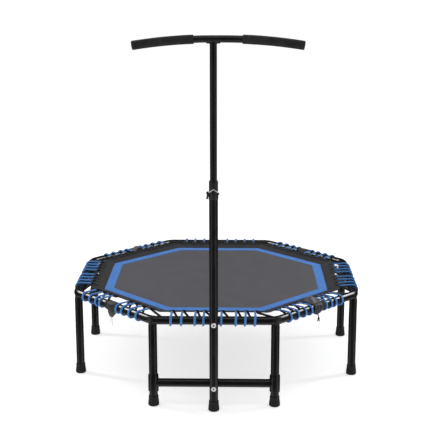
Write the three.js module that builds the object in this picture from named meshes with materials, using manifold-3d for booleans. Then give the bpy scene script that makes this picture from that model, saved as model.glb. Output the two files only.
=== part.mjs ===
// A folding mini trampoline with a height-adjustable T handle.
// Millimetres, +Z up, floor at z = 0. The origin is on the floor under the middle of the object's
// outer box. -Y is the handle side. The rail is a regular octagon made of four quarter sections,
// each with one straight side, two bent corners and half of the diagonal side at either end.
// The front and left quarters stand still; the right and back quarters fold up and over them.
import * as THREE from 'three';
import { mergeVertices } from 'three/addons/utils/BufferGeometryUtils.js';
import Module from 'manifold-3d';

const wasm = await Module();
wasm.setup();

// ---------- driving dimensions ----------
const GAP = 0.3; // between pieces that touch
const EIGHTH = Math.PI / 8; // half of the angle that one side spans

const CORNER_RADIUS = 600; // octagon centre to the rail's sharp corner
const RAIL_HEIGHT = 338; // rail centreline
const RAIL_RADIUS = 16;
const TUBE_WALL = 1.5;
const BEND_RADIUS = 60;
const BEND_STEPS = 3;

const MAT_TOP = 341;
const MAT_THICKNESS = 3;
const MAT_BORDER = { inner: 104, outer: 58, rise: 12 }; // insets from the rail centreline; it slopes up

const LEG_RADIUS = 16;
const LEG_TOP = 319;
const LEG_BOTTOM = 5.3;
const STUD_RADIUS = 6;
const STUD_DEPTH = 17; // how far a stud reaches into its leg
const FOOT = { bottomRadius: 21, wall: 2.6, height: 39, floor: 5, edge: 2.5 };

const FOLD_RISE = 25.8; // fold axis above the rail centreline
const HINGE = { inset: 36, headRadius: 5.4, pinRadius: 3, reach: 24, baseStart: 8.8, lift: 15.8, baseThickness: 3 };
const HINGE_WIDTH = { tongue: 4.6, slot: 5, outer: 9.6 }; // half widths
const LINK = { halfLength: 28, halfHeight: 10, thickness: 6, rivetAt: 16, rivetRadius: 4 };

const CORD = { radius: 4, sides: 4, wrapRadius: 21.4, wrapSteps: 6, anchorInset: 52.5, turnWidth: 9 };
const WRAP_FROM = THREE.MathUtils.degToRad(292); // under the rail, measured upwards from inboard
const WRAP_TO = THREE.MathUtils.degToRad(85); // over the rail
const UNDER_DRIFT = 3; // a loop starts this much earlier under the rail than over it

// Where the cord crosses over the rail along a side. The diagonals leave room for the joint cover.
const STRAIGHT_LOOPS = [-163, -122, -81, -40, 28, 69, 110, 151];
const DIAGONAL_LOOPS = [-163, -122, -81, -46, 34, 69, 110, 151];
const UNEVEN_LOOPS = {
  '-90': [-158, -119, -69, -37, 28, 82, 117, 153],
  '-45': [-163, -122, -81, -46, 39, 70, 96, 134],
  '-135': [-167, -126, -87, -61, 40, 74, 117, 159],
};

const POST_OFFSET = 41; // post axis in front of the rail centreline
const POST = { radius: 16, wall: 1.6, bottom: LEG_BOTTOM, top: 824 };
const INNER_POST = { radius: 12.5, wall: 1.5, bottom: 666 };
const CROSSBAR = { height: 90, radius: 16 };
const SLEEVE = { radius: 19.6, halfHeight: 32 };
const BOLT = { radius: 4, headRadius: 9.5, headHeight: 5.5, spacerRadius: 8, nutRadius: 7, nutLength: 7.6 };

const CLAMP = { radius: 17.3, bottom: 806, apex: 843, slope: 0.8, shoulder: 824.5, lug: 3.4 };
const BAND_THICKNESS = 2.6;
const COLLAR = { radius: 16.3, top: 872.5 };
const LEVER = { pinX: -21.6, pinZ: 829, headRadius: 4, pinRadius: 1.8, halfWidth: 4.4, tip: 806 };
const EAR = { inner: 4.8, outer: 7.4, radius: 4.2 };

const BAR = { height: 1368.7, middle: 16.5, radius: 12.5, halfLength: 294.5, straight: 20, drop: 22 };
const GRIP = { radius: 16, start: 87, steps: 6, cap: 3 };
const SADDLE = { radius: 15.6, halfLength: 24 };

// ---------- derived places ----------
const APOTHEM = CORNER_RADIUS * Math.cos(EIGHTH);
const HALF_SIDE = CORNER_RADIUS * Math.sin(EIGHTH);
const LEG_CIRCLE = CORNER_RADIUS - BEND_RADIUS * (1 / Math.cos(EIGHTH) - 1);
const LEG_X = LEG_CIRCLE * Math.sin(EIGHTH);
const LEG_Y = LEG_CIRCLE * Math.cos(EIGHTH);
const POST_Y = -(APOTHEM + POST_OFFSET);
const FOLD_HEIGHT = RAIL_HEIGHT + FOLD_RISE;
const MAT_EDGE_TOP = MAT_TOP + MAT_BORDER.rise;

// Every octagon side has a frame: x points outward from the centre, y runs counter-clockwise.
const QUARTERS = [
  { name: 'front', angle: -90 },
  { name: 'right', angle: 0 },
  { name: 'back', angle: 90 },
  { name: 'left', angle: 180 },
];

// ---------- materials ----------
const material = (color, roughness, metalness = 0) =>
  new THREE.MeshStandardMaterial({ color, roughness, metalness });
const PAINT = material(0x1b1b1d, 0.35, 0.2);
const ZINC = material(0xb9bcc0, 0.3, 0.9);
const CHROME = material(0xd9dadc, 0.12, 1);
const RUBBER = material(0x161616, 0.8);
const PLASTIC = material(0x1c1c1e, 0.5);
const FOAM = material(0x232324, 0.95);
const MAT_CLOTH = material(0x58585c, 0.9);
const COVER_CLOTH = material(0x1a1a1c, 0.95);
const ELASTIC = material(0x4285d5, 0.8);

// ---------- shaping helpers ----------
const vec2 = (x, y) => new THREE.Vector2(x, y);
const vec3 = (x, y, z) => new THREE.Vector3(x, y, z);

// A route with one ring of the tube at each chosen point, mitred at the bends.
class Route extends THREE.Curve {
  constructor(points) {
    super();
    this.points = points;
  }

  getPointAt(u) {
    return this.points[Math.round(u * (this.points.length - 1))].clone();
  }

  getTangentAt(u) {
    const last = this.points.length - 1;
    const i = Math.round(u * last);
    const here = this.points[i];
    const arriving = here.clone().sub(this.points[Math.max(i - 1, 0)]).normalize();
    const leaving = this.points[Math.min(i + 1, last)].clone().sub(here).normalize();
    return arriving.add(leaving).normalize();
  }
}

function polygon(radius, sides) {
  const corner = (k) => vec2(
    radius * Math.cos((2 * Math.PI * k) / sides),
    radius * Math.sin((2 * Math.PI * k) / sides),
  );
  return Array.from({ length: sides }, (_, k) => corner(k));
}

function tube(points, radius, sides, boreRadius = 0, boreSides = 8) {
  const section = new THREE.Shape(polygon(radius, sides));
  if (boreRadius > 0) section.holes.push(new THREE.Path(polygon(boreRadius, boreSides)));
  return new THREE.ExtrudeGeometry(section, {
    steps: points.length - 1,
    extrudePath: new Route(points),
  });
}

// A solid of revolution about +Z from [radius, height] pairs.
function turned(profile, segments) {
  const outline = profile.map(([radius, height]) => vec2(radius, height));
  return new THREE.LatheGeometry(outline, segments).rotateX(Math.PI / 2);
}

function closedRing(profile, segments) {
  return turned([...profile, profile[0]], segments);
}

// A rod along the given axis ('x', 'y' or 'z') between two places on it.
function rod(radius, axis, from, to, segments = 12) {
  const shape = new THREE.CylinderGeometry(radius, radius, to - from, segments);
  const middle = (from + to) / 2;
  if (axis === 'x') return shape.rotateZ(Math.PI / 2).translate(middle, 0, 0);
  if (axis === 'z') return shape.rotateX(Math.PI / 2).translate(0, 0, middle);
  return shape.translate(0, middle, 0);
}

function block(x0, x1, y0, y1, z0, z1) {
  const shape = new THREE.BoxGeometry(x1 - x0, y1 - y0, z1 - z0);
  return shape.translate((x0 + x1) / 2, (y0 + y1) / 2, (z0 + z1) / 2);
}

// A plate whose outline is drawn in (y, z) and which is thick along x.
function plateAcrossX(outline, x0, x1, curveSegments = 10) {
  const shape = new THREE.ExtrudeGeometry(outline, {
    depth: x1 - x0,
    bevelEnabled: false,
    curveSegments,
  });
  return shape.rotateX(Math.PI / 2).rotateZ(Math.PI / 2).translate(x0, 0, 0);
}

// A plate whose outline is drawn in (x, z) and which is thick along y.
function plateAcrossY(outline, y0, y1, curveSegments = 10) {
  const shape = new THREE.ExtrudeGeometry(outline, {
    depth: y1 - y0,
    bevelEnabled: false,
    curveSegments,
  });
  return shape.rotateX(Math.PI / 2).translate(0, y1, 0);
}

// A bore's radius that clears a round shaft although its wall is faceted.
const boreFor = (shaft, segments) => (shaft + GAP) / Math.cos(Math.PI / segments);

function solidOf(geometry) {
  const bare = geometry.clone();
  bare.deleteAttribute('normal');
  bare.deleteAttribute('uv');
  const merged = mergeVertices(bare, 1e-4);
  const index = merged.index.array;
  const triangles = [];
  for (let i = 0; i < index.length; i += 3) {
    const [a, b, c] = [index[i], index[i + 1], index[i + 2]];
    if (a !== b && b !== c && c !== a) triangles.push(a, b, c);
  }
  return new wasm.Manifold(new wasm.Mesh({
    numProp: 3,
    vertProperties: Float32Array.from(merged.attributes.position.array),
    triVerts: Uint32Array.from(triangles),
  }));
}

function geometryOf(solid) {
  const mesh = solid.getMesh();
  const geometry = new THREE.BufferGeometry();
  geometry.setAttribute('position', new THREE.BufferAttribute(mesh.vertProperties, mesh.numProp));
  geometry.setIndex(new THREE.BufferAttribute(mesh.triVerts, 1));
  geometry.computeVertexNormals();
  return geometry;
}

// base with other pieces joined to it, then trimmed to a shape, then cut.
function carve(base, { join = [], keep = [], cut = [] }) {
  let body = solidOf(base);
  for (const extra of join) body = body.add(solidOf(extra));
  for (const limit of keep) body = body.intersect(solidOf(limit));
  for (const tool of cut) body = body.subtract(solidOf(tool));
  return geometryOf(body);
}

// ---------- assembly ----------
const trampoline = new THREE.Group();

function add(name, geometry, look, parent = trampoline) {
  const mesh = new THREE.Mesh(geometry, look);
  mesh.name = name;
  parent.add(mesh);
  return mesh;
}

function sideFrame(angleDegrees) {
  const frame = new THREE.Group();
  frame.rotation.z = THREE.MathUtils.degToRad(angleDegrees);
  trampoline.add(frame);
  return frame;
}

// ---------- octagonal rail ----------
// Half of a quarter's centreline in its side frame, from the corner bend out to the joint.
function halfRailRoute() {
  const corner = vec3(APOTHEM, HALF_SIDE, RAIL_HEIGHT);
  const joint = vec3(APOTHEM * Math.SQRT1_2, APOTHEM * Math.SQRT1_2, RAIL_HEIGHT);
  const centre = vec3(APOTHEM - BEND_RADIUS, HALF_SIDE - BEND_RADIUS * Math.tan(EIGHTH), RAIL_HEIGHT);
  const along = joint.clone().sub(corner).normalize();
  const route = [];
  for (let i = 0; i <= BEND_STEPS; i++) {
    const turn = (i / BEND_STEPS) * 2 * EIGHTH;
    route.push(vec3(Math.cos(turn), Math.sin(turn), 0).multiplyScalar(BEND_RADIUS).add(centre));
  }
  route.push(joint.addScaledVector(along, -GAP));
  return route;
}

const mirroredInY = (p) => vec3(p.x, -p.y, p.z);

function railGeometry(quarter, index) {
  const ahead = halfRailRoute();
  const behind = ahead.map(mirroredInY).reverse();
  const rail = tube([...behind, ...ahead], RAIL_RADIUS, 12, RAIL_RADIUS - TUBE_WALL);
  const studTop = RAIL_HEIGHT - RAIL_RADIUS + 1;
  const stud = () => rod(STUD_RADIUS, 'z', LEG_TOP - STUD_DEPTH, studTop, 10);
  const join = [stud().translate(LEG_Y, LEG_X, 0), stud().translate(LEG_Y, -LEG_X, 0)];
  const rivetHole = rod(boreFor(LINK.rivetRadius, 12), 'x', APOTHEM - 20, APOTHEM + 20);
  const linkEnd = index % 2 === 0 ? -1 : 1; // a link joint at one end, a fold hinge at the other
  rivetHole.translate(0, -linkEnd * LINK.rivetAt, RAIL_HEIGHT);
  const cut = [rivetHole.rotateZ(linkEnd * 2 * EIGHTH)];
  if (quarter.name === 'front') {
    const boltHole = rod(boreFor(BOLT.radius, 12), 'x', APOTHEM - 20, APOTHEM + 20);
    cut.push(boltHole.translate(0, 0, RAIL_HEIGHT));
  }
  return carve(rail, { join, cut });
}

QUARTERS.forEach((quarter, index) => {
  add(`rail_${quarter.name}`, railGeometry(quarter, index), PAINT, sideFrame(quarter.angle));
});

// ---------- legs and feet ----------
function legGeometry() {
  const segments = 12;
  const threadRadius = boreFor(STUD_RADIUS, segments);
  const socketDepth = STUD_DEPTH + 2;
  return closedRing([
    [LEG_RADIUS - TUBE_WALL, LEG_BOTTOM],
    [LEG_RADIUS, LEG_BOTTOM],
    [LEG_RADIUS, LEG_TOP],
    [threadRadius, LEG_TOP],
    [threadRadius, LEG_TOP - socketDepth],
    [LEG_RADIUS - TUBE_WALL, LEG_TOP - socketDepth],
  ], segments);
}

function footGeometry(shaftRadius) {
  const segments = 12;
  const pocket = boreFor(shaftRadius, segments);
  return turned([
    [0, 0],
    [FOOT.bottomRadius - FOOT.edge, 0],
    [FOOT.bottomRadius, FOOT.edge],
    [shaftRadius + FOOT.wall, FOOT.height],
    [pocket, FOOT.height],
    [pocket, FOOT.floor],
    [0, FOOT.floor],
  ], segments);
}

for (const quarter of QUARTERS) {
  const frame = sideFrame(quarter.angle);
  const before = { front: 'left', right: 'front', back: 'right', left: 'back' }[quarter.name];
  const after = { front: 'right', right: 'back', back: 'left', left: 'front' }[quarter.name];
  for (const [neighbour, side] of [[before, -1], [after, 1]]) {
    const leg = add(`leg_${quarter.name}_${neighbour}`, legGeometry(), PAINT, frame);
    leg.position.set(LEG_Y, side * LEG_X, 0);
    const foot = footGeometry(LEG_RADIUS);
    add(`foot_${quarter.name}_${neighbour}`, foot, RUBBER, frame).position.copy(leg.position);
  }
}

// ---------- joints between the quarters ----------
// One leaf of a fold hinge, lying at y < 0, with its head round the pin at the origin.
function leafOutline() {
  const { headRadius, reach, lift } = HINGE;
  const outline = new THREE.Shape();
  outline.moveTo(-reach, -lift);
  outline.lineTo(-reach, -lift + HINGE.baseThickness - 0.3);
  outline.lineTo(headRadius * Math.cos(2 * Math.PI / 3), headRadius * Math.sin(2 * Math.PI / 3));
  outline.absarc(0, 0, headRadius, 2 * Math.PI / 3, -Math.PI / 2, true);
  outline.lineTo(-HINGE.baseStart, -lift);
  outline.closePath();
  return outline;
}

// Its base reaches from under the plates to the rail, which lies towards +x or -x.
function leafGeometry(plates, railSide) {
  const { outer } = HINGE_WIDTH;
  const { reach, baseStart, lift, baseThickness, pinRadius } = HINGE;
  const railSurface = Math.sqrt(RAIL_RADIUS ** 2 - (FOLD_RISE - lift) ** 2);
  const strap = HINGE.inset - railSurface - GAP;
  const [x0, x1] = railSide > 0 ? [-outer, strap] : [-strap, outer];
  const base = block(x0, x1, -reach, -baseStart, -lift, -lift + baseThickness);
  const join = plates.map(([from, to]) => plateAcrossX(leafOutline(), from, to));
  const pinHole = rod(boreFor(pinRadius, 12), 'x', -outer - 1, outer + 1);
  return carve(base, { join, cut: [pinHole] });
}

const FORK_PLATES = [[-HINGE_WIDTH.outer, -HINGE_WIDTH.slot], [HINGE_WIDTH.slot, HINGE_WIDTH.outer]];
const TONGUE_PLATES = [[-HINGE_WIDTH.tongue, HINGE_WIDTH.tongue]];

function hingePinGeometry() {
  const { outer } = HINGE_WIDTH;
  const [face, end, headRadius] = [outer + GAP, outer + 2.4, 5];
  return turned([
    [0, -end],
    [headRadius, -end],
    [headRadius, -face],
    [HINGE.pinRadius, -face],
    [HINGE.pinRadius, face],
    [headRadius, face],
    [headRadius, end],
    [0, end],
  ], 12).rotateY(Math.PI / 2);
}

// A fold hinge stands inboard of the rail ends, each leaf on a strap welded to its rail.
// forkSide says which side its still leaf is on, along y.
function addFoldHinge(place, angle, forkSide) {
  const frame = sideFrame(angle);
  const pieces = [
    [`hinge_fork_${place}`, leafGeometry(FORK_PLATES, -forkSide), forkSide],
    [`hinge_tongue_${place}`, leafGeometry(TONGUE_PLATES, forkSide), -forkSide],
    [`hinge_pin_${place}`, hingePinGeometry(), -1],
  ];
  for (const [name, geometry, side] of pieces) {
    const piece = add(name, geometry, ZINC, frame);
    piece.position.set(APOTHEM - HINGE.inset, 0, FOLD_HEIGHT);
    piece.rotation.z = side < 0 ? 0 : Math.PI;
  }
}

// A link joint: a flat bar inside the two rail ends, riveted through both.
function addLinkJoint(place, angle) {
  const frame = sideFrame(angle);
  const { halfLength, halfHeight, thickness, rivetAt, rivetRadius } = LINK;
  const bar = block(-thickness / 2, thickness / 2, -halfLength, halfLength, -halfHeight, halfHeight);
  const hole = (y) => rod(boreFor(rivetRadius, 12), 'x', -thickness, thickness).translate(0, y, 0);
  const link = carve(bar, { cut: [hole(-rivetAt), hole(rivetAt)] });
  add(`joint_link_${place}`, link, ZINC, frame).position.set(APOTHEM, 0, RAIL_HEIGHT);
  const [face, end, headRadius] = [RAIL_RADIUS + GAP, RAIL_RADIUS + 2.3, 6.5];
  for (const [label, y] of [['a', -rivetAt], ['b', rivetAt]]) {
    const rivet = turned([
      [0, -end],
      [headRadius, -face],
      [rivetRadius, -face],
      [rivetRadius, face],
      [headRadius, face],
      [0, end],
    ], 12).rotateY(Math.PI / 2);
    add(`joint_rivet_${place}_${label}`, rivet, ZINC, frame).position.set(APOTHEM, y, RAIL_HEIGHT);
  }
}

addFoldHinge('front_right', -45, -1);
addFoldHinge('back_left', 135, 1);
addLinkJoint('front_left', -135);
addLinkJoint('back_right', 45);

// ---------- cloth covers round the joints ----------
// Each cover is a sleeve of cloth round a hollow, which is drawn in (x, z) from the rail's centre.
const COVER = { halfLength: 26, cloth: 1.6, bottomHalf: 13 };
const ROUND_RAIL = RAIL_RADIUS + GAP;
const HINGE_HOLLOW = [
  [ROUND_RAIL, -17], [ROUND_RAIL, 16.5], [-17, 16.5], [-23, 31.6], [-49, 31.6], [-49, 9.6],
  [-ROUND_RAIL, 9.6], [-ROUND_RAIL, -17],
];
const LINK_HOLLOW = [
  [RAIL_RADIUS + 2.6, -17.2], [RAIL_RADIUS + 2.6, ROUND_RAIL],
  [-RAIL_RADIUS - 2.6, ROUND_RAIL], [-RAIL_RADIUS - 2.6, -17.2],
];

function coverGeometry({ hollow, low, tail, tailAt = 0 }) {
  const { halfLength, cloth, bottomHalf } = COVER;
  const inside = new wasm.CrossSection([hollow]);
  const [outline] = inside.offset(cloth, 'Round', 2, 12).toPolygons();
  const extrude = (points) => {
    const shape = new THREE.Shape(points.map(([x, z]) => vec2(x, z)));
    return plateAcrossY(shape, -halfLength, halfLength);
  };
  const bottom = block(-bottomHalf, bottomHalf, -halfLength, halfLength, low, -17.5);
  const side = new THREE.Shape([
    vec2(-halfLength, -20),
    vec2(tailAt - tail, low - 1),
    vec2(tailAt + tail, low - 1),
    vec2(halfLength, -20),
    vec2(halfLength, 60),
    vec2(-halfLength, 60),
  ]);
  return carve(extrude(outline), {
    join: [bottom],
    keep: [plateAcrossX(side, -60, 60)],
    cut: [extrude(hollow)],
  });
}

const HINGE_COVER = { hollow: HINGE_HOLLOW, low: -28, tail: 18 };
const LINK_COVER = { hollow: LINK_HOLLOW, low: -48, tail: 9 };
const COVERS = [
  ['front_right', -45, HINGE_COVER],
  ['back_left', 135, HINGE_COVER],
  ['front_left', -135, { ...LINK_COVER, tailAt: -14 }],
  ['back_right', 45, LINK_COVER],
];
for (const [place, angle, shape] of COVERS) {
  const cover = add(`joint_cover_${place}`, coverGeometry(shape), COVER_CLOTH, sideFrame(angle));
  cover.position.set(APOTHEM, 0, RAIL_HEIGHT);
}

// ---------- jumping mat, in two halves that meet on the fold line ----------
function halfMatGeometry(towards) {
  const { inner, outer, rise } = MAT_BORDER;
  const cornerAt = (inset) => (APOTHEM - inset) / Math.cos(EIGHTH);
  const low = MAT_TOP - MAT_THICKNESS;
  const wholeMat = turned([
    [0, low],
    [cornerAt(inner), low],
    [cornerAt(outer), low + rise],
    [cornerAt(outer), MAT_TOP + rise],
    [cornerAt(inner), MAT_TOP],
    [0, MAT_TOP],
  ], 8).rotateZ(EIGHTH);
  const half = block(0.4, CORNER_RADIUS, -CORNER_RADIUS, CORNER_RADIUS, low - 1, MAT_TOP + rise + 1);
  return carve(wholeMat, { keep: [half.rotateZ(towards)] });
}

add('mat_front_left', halfMatGeometry(-6 * EIGHTH), MAT_CLOTH);
add('mat_back_right', halfMatGeometry(2 * EIGHTH), MAT_CLOTH);

// ---------- elastic cords ----------
// One loop in a side frame: under the rail, round its outside, over it, and back to the mat.
function cordLoop(y) {
  const points = [];
  for (let i = 0; i <= CORD.wrapSteps; i++) {
    const share = i / CORD.wrapSteps;
    const angle = THREE.MathUtils.lerp(WRAP_FROM, WRAP_TO, share);
    points.push(vec3(
      APOTHEM - CORD.wrapRadius * Math.cos(angle),
      y - UNDER_DRIFT * (1 - share),
      RAIL_HEIGHT + CORD.wrapRadius * Math.sin(angle),
    ));
  }
  const anchorX = APOTHEM - CORD.anchorInset;
  points.push(vec3(anchorX, y, MAT_EDGE_TOP + 2));
  points.push(vec3(anchorX, y + CORD.turnWidth, MAT_EDGE_TOP - 2));
  return points;
}

function loopsOn(angle) {
  const even = angle % 90 === 0 ? STRAIGHT_LOOPS : DIAGONAL_LOOPS;
  return UNEVEN_LOOPS[angle > 180 ? angle - 360 : angle] ?? even;
}

// A quarter's cord, in its side frame: half of a diagonal, the straight side, half of the next one.
function cordRoute(quarterAngle) {
  const start = loopsOn(quarterAngle - 45).filter((y) => y > 0);
  const first = vec3(APOTHEM - CORD.anchorInset, start[0] - 4, MAT_EDGE_TOP - 2);
  const route = [first.applyAxisAngle(vec3(0, 0, 1), -2 * EIGHTH)];
  const onSide = (turn, loops) => {
    for (const y of loops) {
      for (const p of cordLoop(y)) route.push(p.applyAxisAngle(vec3(0, 0, 1), turn));
    }
  };
  onSide(-2 * EIGHTH, start);
  onSide(0, loopsOn(quarterAngle));
  onSide(2 * EIGHTH, loopsOn(quarterAngle + 45).filter((y) => y < 0));
  route.pop();
  return route;
}

for (const quarter of QUARTERS) {
  const cord = tube(cordRoute(quarter.angle), CORD.radius, CORD.sides);
  add(`cords_${quarter.name}`, cord, ELASTIC, sideFrame(quarter.angle));
}

// ---------- cross bar between the front legs ----------
function crossbarGeometry() {
  const { radius, halfHeight } = SLEEVE;
  const bar = rod(CROSSBAR.radius, 'x', -LEG_X, LEG_X, 14);
  const sleeve = (x) => rod(radius, 'z', -halfHeight, halfHeight, 16).translate(x, 0, 0);
  const legBore = boreFor(LEG_RADIUS, 16);
  const legHole = (x) => rod(legBore, 'z', -40, 40, 16).translate(x, 0, 0);
  const insideEnd = LEG_X - legBore - 1.5;
  const inside = rod(CROSSBAR.radius - TUBE_WALL, 'x', -insideEnd, insideEnd, 10);
  const boltHole = rod(boreFor(BOLT.radius, 12), 'y', -20, 20);
  return carve(bar, {
    join: [sleeve(-LEG_X), sleeve(LEG_X)],
    cut: [inside, legHole(-LEG_X), legHole(LEG_X), boltHole],
  });
}
add('front_crossbar', crossbarGeometry(), PAINT).position.set(0, -LEG_Y, CROSSBAR.height);

// ---------- handle post ----------
const BOLT_LEVELS = [
  { name: 'upper', height: RAIL_HEIGHT, tubeY: -APOTHEM, tubeRadius: RAIL_RADIUS },
  { name: 'lower', height: CROSSBAR.height, tubeY: -LEG_Y, tubeRadius: CROSSBAR.radius },
];

function outerPostGeometry() {
  const post = closedRing([
    [POST.radius - POST.wall, POST.bottom],
    [POST.radius, POST.bottom],
    [POST.radius, POST.top],
    [POST.radius - POST.wall, POST.top],
  ], 20);
  const holes = BOLT_LEVELS.map(({ height }) => {
    return rod(boreFor(BOLT.radius, 12), 'y', -20, 20).translate(0, 0, height);
  });
  return carve(post, { cut: holes });
}
add('outer_post', outerPostGeometry(), PAINT).position.y = POST_Y;
add('foot_post', footGeometry(POST.radius), RUBBER).position.y = POST_Y;

// Bolts run along y, from the dome in front of the post to the nut behind the tube.
function boltGeometry(shankLength) {
  const { radius, headRadius, headHeight } = BOLT;
  return turned([
    [0, -headHeight],
    [headRadius * 0.55, -headHeight * 0.85],
    [headRadius * 0.9, -headHeight * 0.45],
    [headRadius, 0],
    [radius, 0],
    [radius, shankLength],
    [0, shankLength],
  ], 14).rotateX(-Math.PI / 2);
}

function nutGeometry() {
  const { nutRadius, nutLength, radius } = BOLT;
  const bore = boreFor(radius, 12);
  return turned([
    [0, nutLength - 2],
    [bore, nutLength - 2],
    [bore, 0],
    [nutRadius, 0],
    [nutRadius, nutLength - 3],
    [nutRadius * 0.6, nutLength],
    [0, nutLength],
  ], 12).rotateX(-Math.PI / 2);
}

function spacerGeometry(tubeY, tubeRadius) {
  const spacer = rod(BOLT.spacerRadius, 'y', POST_Y + POST.radius - 3, tubeY - tubeRadius + 3, 16);
  const postSpace = rod(POST.radius + GAP, 'z', -20, 20, 32).translate(0, POST_Y, 0);
  const tubeSpace = rod(tubeRadius + GAP, 'x', -20, 20, 32).translate(0, tubeY, 0);
  const boltHole = rod(boreFor(BOLT.radius, 12), 'y', POST_Y, tubeY);
  return carve(spacer, { cut: [postSpace, tubeSpace, boltHole] });
}

for (const { name, height, tubeY, tubeRadius } of BOLT_LEVELS) {
  const headFace = POST_Y - POST.radius - GAP;
  const nutFace = tubeY + tubeRadius + GAP;
  const shank = nutFace + BOLT.nutLength - 2 - 2 * GAP - headFace;
  // the lathe's own axis turns from +Z to +Y, so the shank points backwards
  add(`post_bolt_${name}`, boltGeometry(shank), CHROME).position.set(0, headFace, height);
  add(`post_nut_${name}`, nutGeometry(), ZINC).position.set(0, nutFace, height);
  add(`post_spacer_${name}`, spacerGeometry(tubeY, tubeRadius), PLASTIC).position.z = height;
}

// ---------- height clamp ----------
// Everything above this roof-shaped surface, which is highest at x = 0, up to a level.
function aboveRoof(apex, top) {
  const side = 30;
  const low = apex - CLAMP.slope * side;
  const outline = new THREE.Shape([
    vec2(-side, low), vec2(0, apex), vec2(side, low), vec2(side, top), vec2(-side, top),
  ]);
  return plateAcrossY(outline, -side, side);
}

const innerBore = boreFor(INNER_POST.radius, 20);

function clampBodyGeometry() {
  const { radius, bottom, apex, shoulder, lug } = CLAMP;
  const postBore = boreFor(POST.radius, 20);
  const sleeve = turned([[0, bottom], [radius, bottom], [radius, apex], [0, apex]], 20);
  const root = radius - 2.2; // where the lug and the ears grow out of the sleeve
  const rightLug = block(root, radius + lug, -4, 4, shoulder - 2.5, apex);
  const earOutline = new THREE.Shape();
  earOutline.moveTo(-root, bottom + 5);
  earOutline.lineTo(-root, shoulder - 0.5);
  earOutline.lineTo(-radius - 0.2, shoulder + 1);
  earOutline.absarc(LEVER.pinX, LEVER.pinZ, EAR.radius, -0.5, Math.PI * 1.15, false);
  earOutline.closePath();
  const roof = aboveRoof(apex, apex + 30);
  const frontEar = plateAcrossY(earOutline, -EAR.outer, -EAR.inner);
  const backEar = plateAcrossY(earOutline, EAR.inner, EAR.outer);
  const pinHole = rod(boreFor(LEVER.pinRadius, 12), 'y', -10, 10);
  const hollow = [
    rod(postBore, 'z', bottom - 1, shoulder, 20),
    rod(innerBore, 'z', bottom - 1, apex + 1, 20),
  ];
  const body = carve(sleeve, { join: [rightLug], cut: [roof] });
  return carve(body, {
    join: [frontEar, backEar],
    cut: [...hollow, pinHole.translate(LEVER.pinX, 0, LEVER.pinZ)],
  });
}

// A ring round the inner post, cut to a roof shape below, and above as well if it is a band.
function roofedRing(radius, lowApex, top, highApex) {
  const low = CLAMP.bottom;
  const ring = closedRing([[innerBore, low], [radius, low], [radius, top], [innerBore, top]], 20);
  const cut = highApex === undefined ? [] : [aboveRoof(highApex, top + 40)];
  return carve(ring, { keep: [aboveRoof(lowApex, top + 1)], cut });
}

const bandApex = CLAMP.apex + GAP;
const collarApex = bandApex + BAND_THICKNESS + GAP;
add('clamp_body', clampBodyGeometry(), PLASTIC).position.y = POST_Y;
const band = roofedRing(CLAMP.radius, bandApex, collarApex + 5, bandApex + BAND_THICKNESS);
add('clamp_band', band, ZINC).position.y = POST_Y;
add('post_collar', roofedRing(COLLAR.radius, collarApex, COLLAR.top), PLASTIC).position.y = POST_Y;

function leverGeometry() {
  const { pinX, pinZ, headRadius, halfWidth, tip, pinRadius } = LEVER;
  const outline = new THREE.Shape();
  outline.moveTo(pinX + 2.7, pinZ - 2.7);
  outline.lineTo(pinX + 2.6, tip + 2);
  outline.lineTo(pinX + 1, tip);
  outline.lineTo(pinX - 3, tip + 1);
  outline.lineTo(pinX - 5, tip + 4.5);
  outline.lineTo(pinX - 3, tip + 8);
  outline.lineTo(pinX - 2.6, pinZ - 4);
  outline.absarc(pinX, pinZ, headRadius, Math.PI * 1.1, -0.2, true);
  outline.closePath();
  const lever = plateAcrossY(outline, -halfWidth, halfWidth);
  const hole = rod(boreFor(pinRadius, 12), 'y', -10, 10).translate(pinX, 0, pinZ);
  return carve(lever, { cut: [hole] });
}
add('clamp_lever', leverGeometry(), PLASTIC).position.y = POST_Y;

const leverPin = rod(LEVER.pinRadius, 'y', -EAR.outer - 0.6, EAR.outer + 0.6);
add('clamp_lever_pin', leverPin, ZINC).position.set(LEVER.pinX, POST_Y, LEVER.pinZ);

// ---------- telescoping T handle ----------
const barZ = (x) => {
  const beyond = Math.max(Math.abs(x) - BAR.straight, 0) / (BAR.halfLength - BAR.straight);
  return BAR.height - BAR.drop * beyond * beyond;
};
const barPoint = (x) => vec3(BAR.middle + x, 0, barZ(x));

function stations(side, from, steps) {
  const step = (BAR.halfLength - from) / steps;
  return Array.from({ length: steps + 1 }, (_, i) => side * (from + i * step));
}

function barGeometry() {
  const steps = GRIP.steps + 2;
  const route = [...stations(-1, BAR.straight, steps).reverse(), ...stations(1, BAR.straight, steps)];
  return tube(route.map(barPoint), BAR.radius, 12, BAR.radius - TUBE_WALL);
}

// A foam sleeve over one end of the bar, closed over the bar's end.
function gripGeometry(side) {
  const route = stations(side, GRIP.start, GRIP.steps).map(barPoint);
  const last = route[GRIP.steps];
  const along = last.clone().sub(route[GRIP.steps - 1]).normalize();
  const beyond = (distance) => last.clone().addScaledVector(along, distance);
  const foam = tube([...route, beyond(GRIP.cap)], GRIP.radius, 14);
  const start = barPoint(side * (GRIP.start - 5));
  const hole = tube([start, ...route, beyond(GAP)], boreFor(BAR.radius, 12) + 0.2, 12);
  return carve(foam, { cut: [hole] });
}

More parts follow.
